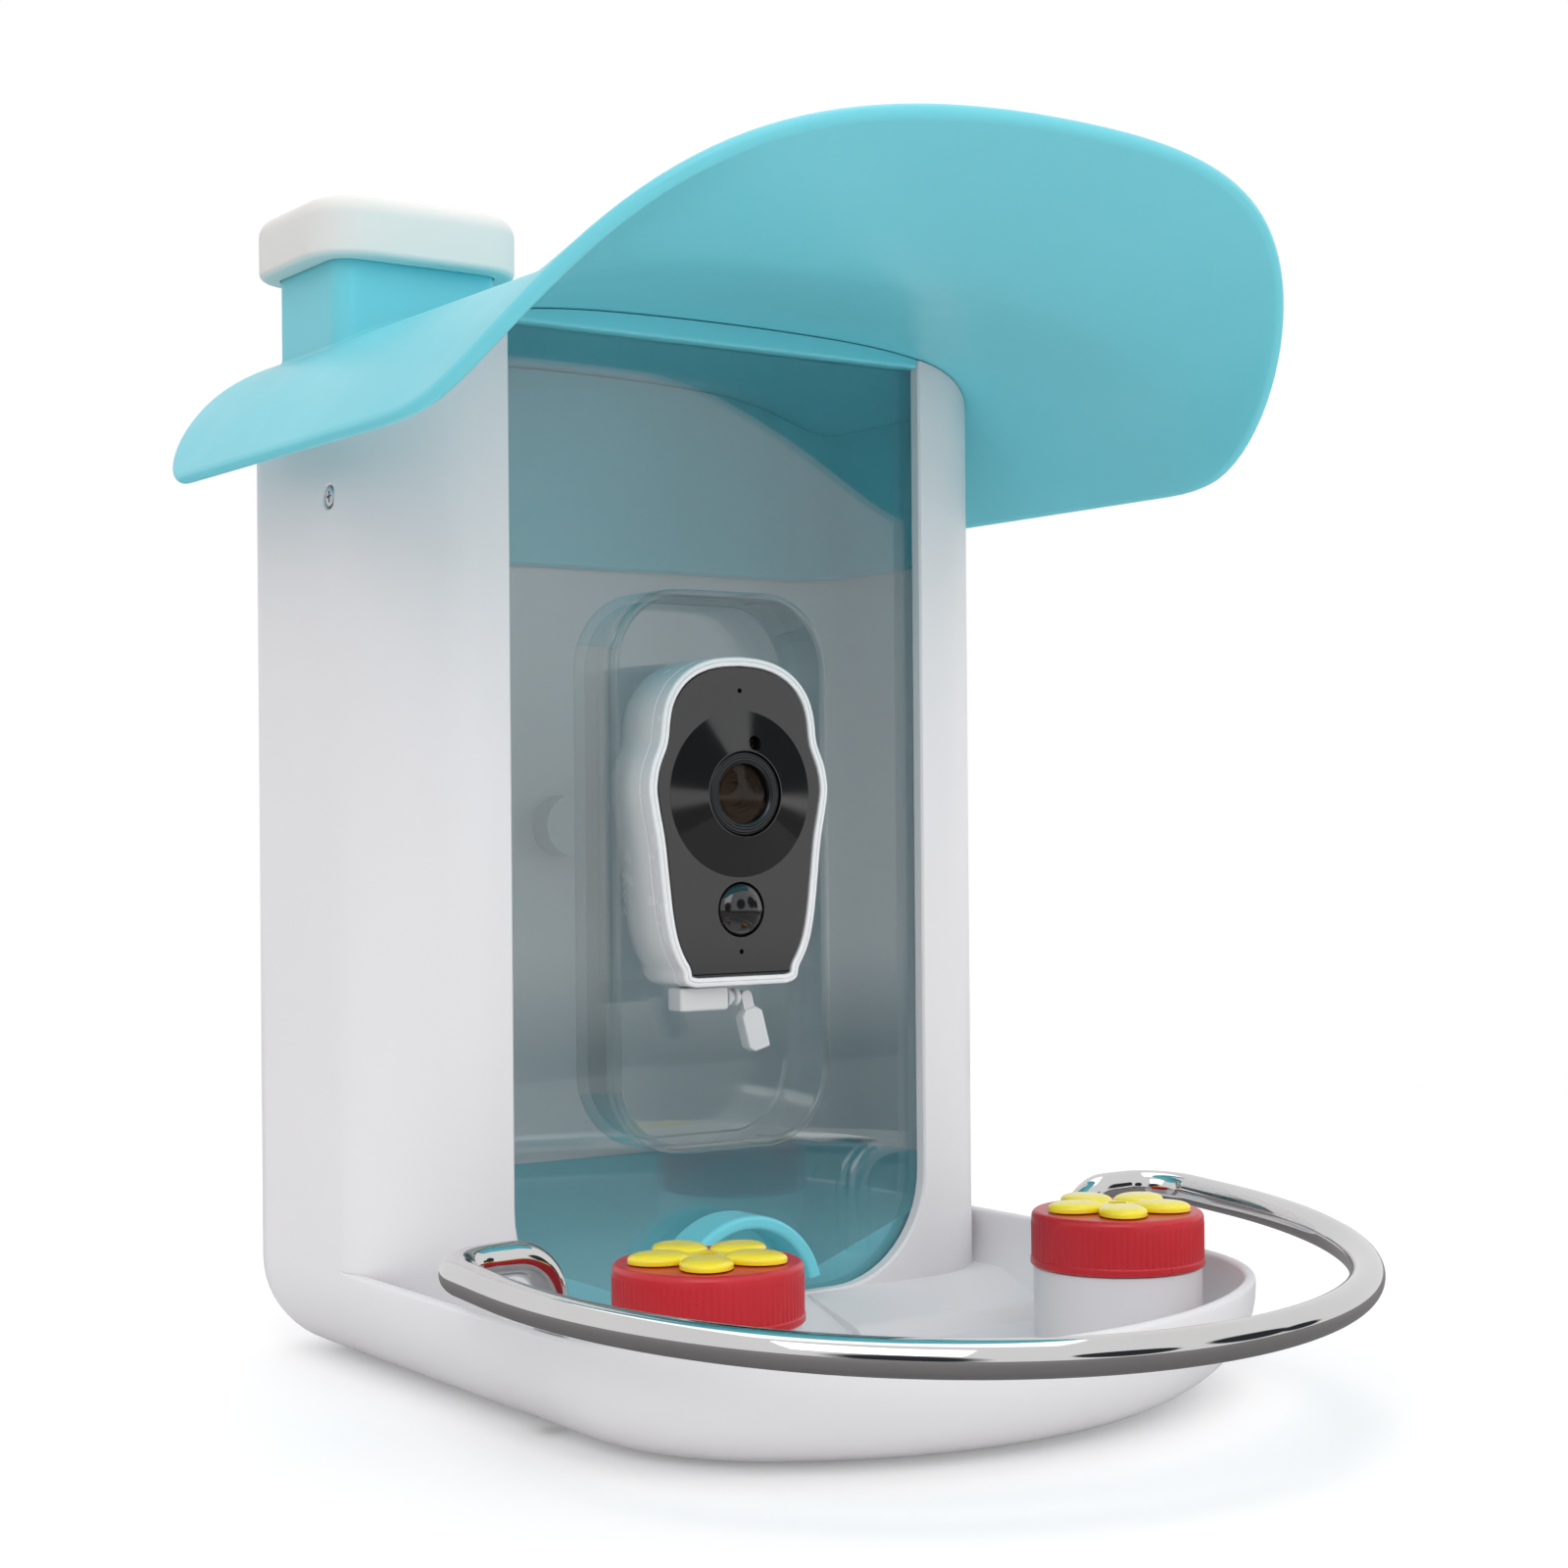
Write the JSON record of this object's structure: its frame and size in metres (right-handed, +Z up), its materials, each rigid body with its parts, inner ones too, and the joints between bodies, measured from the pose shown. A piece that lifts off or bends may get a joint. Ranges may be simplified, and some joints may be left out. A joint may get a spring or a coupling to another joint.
{
  "type": "smart bird feeder",
  "caption": "Seed hopper with a curved rain roof, clear front panel with a camera pocket, seed tray, perch rail and lidded nectar cups.",
  "frame": {"origin": "on the ground plane, at the middle of the column's front face", "axes": "+Z up, -Y to the front where the tray is, +X to the right when the front is looked at"},
  "size_m": [0.222, 0.2647, 0.2762],
  "materials": {
    "housing_white": "satin moulded, cool white",
    "roof_teal": "satin moulded, teal",
    "cap_white": "soft matt, warm white",
    "clear_panel": "clear tinted plastic",
    "lid_red": "satin moulded, red",
    "petal_yellow": "glossy moulded, yellow",
    "chrome": "polished",
    "camera_white": "satin moulded, white",
    "camera_black": "gloss dark grey",
    "lens_glass": "coated glass",
    "dark_plastic": "satin dark",
    "rubber_white": "soft matt",
    "seal_clear": "soft translucent",
    "circuit_green": "solder mask",
    "battery_wrap": "shrink wrap",
    "steel": "plain",
    "brass": "turned"
  },
  "bodies": {
    "base": {"housing": "housing_white", "roof": "roof_teal", "roof_collar": "roof_teal", "roof_screw_left": "steel", "roof_screw_right": "steel", "window_panel": "clear_panel", "seed_hood": "roof_teal", "seed_ramp": "roof_teal", "perch_rail": "chrome", "perch_screw_left": "steel", "perch_screw_right": "steel", "camera_rear_case": "camera_white", "camera_front_bezel": "camera_white", "camera_face_panel": "camera_black", "lens_ring": "dark_plastic", "lens_glass": "lens_glass", "image_sensor_barrel": "dark_plastic", "light_sensor": "lens_glass", "pir_dome": "camera_black", "pir_sensor": "steel", "camera_main_board": "circuit_green", "battery_cell": "battery_wrap", "camera_case_screw_1": "steel", "camera_case_screw_2": "steel", "camera_case_screw_3": "steel", "camera_case_screw_4": "steel", "camera_mount_screw": "brass", "port_plug": "rubber_white", "mount_insert": "brass"},
    "filler_cap": {"filler_cap": "cap_white", "filler_cap_seal": "seal_clear"},
    "cup_left": {"nectar_cup_left": "housing_white"},
    "cup_right": {"nectar_cup_right": "housing_white"},
    "lid_left": {"lid_left": "lid_red", "flower_left": "petal_yellow", "lid_gasket_left": "seal_clear"},
    "lid_right": {"lid_right": "lid_red", "flower_right": "petal_yellow", "lid_gasket_right": "seal_clear"},
    "port_cover": {"port_cover": "rubber_white"},
    "power_button": {"power_button": "rubber_white"}
  },
  "joints": [
    {"name": "filler_cap_lift", "type": "slide", "parent": "base", "child": "filler_cap", "axis": [0, 0, 1], "range_m": [0, 0.03]},
    {"name": "cup_left_lift", "type": "slide", "parent": "base", "child": "cup_left", "axis": [0, 0, 1], "range_m": [0, 0.03]},
    {"name": "lid_left_turn", "type": "hinge", "parent": "cup_left", "child": "lid_left", "pos_m": [-0.0564, -0.075, 0.0265], "axis": [0, 0, 1], "range_deg": [0, 270]},
    {"name": "cup_right_lift", "type": "slide", "parent": "base", "child": "cup_right", "axis": [0, 0, 1], "range_m": [0, 0.03]},
    {"name": "lid_right_turn", "type": "hinge", "parent": "cup_right", "child": "lid_right", "pos_m": [0.0564, -0.075, 0.0265], "axis": [0, 0, 1], "range_deg": [0, 270]},
    {"name": "port_cover_swing", "type": "hinge", "parent": "base", "child": "port_cover", "pos_m": [0.00495, 0.001, 0.0863], "axis": [0, -1, 0], "range_deg": [-8, 45]},
    {"name": "power_button_press", "type": "slide", "parent": "base", "child": "power_button", "axis": [0, 0, 1], "range_m": [0, 0.0006], "stiffness_N_per_m": 300}
  ]
}
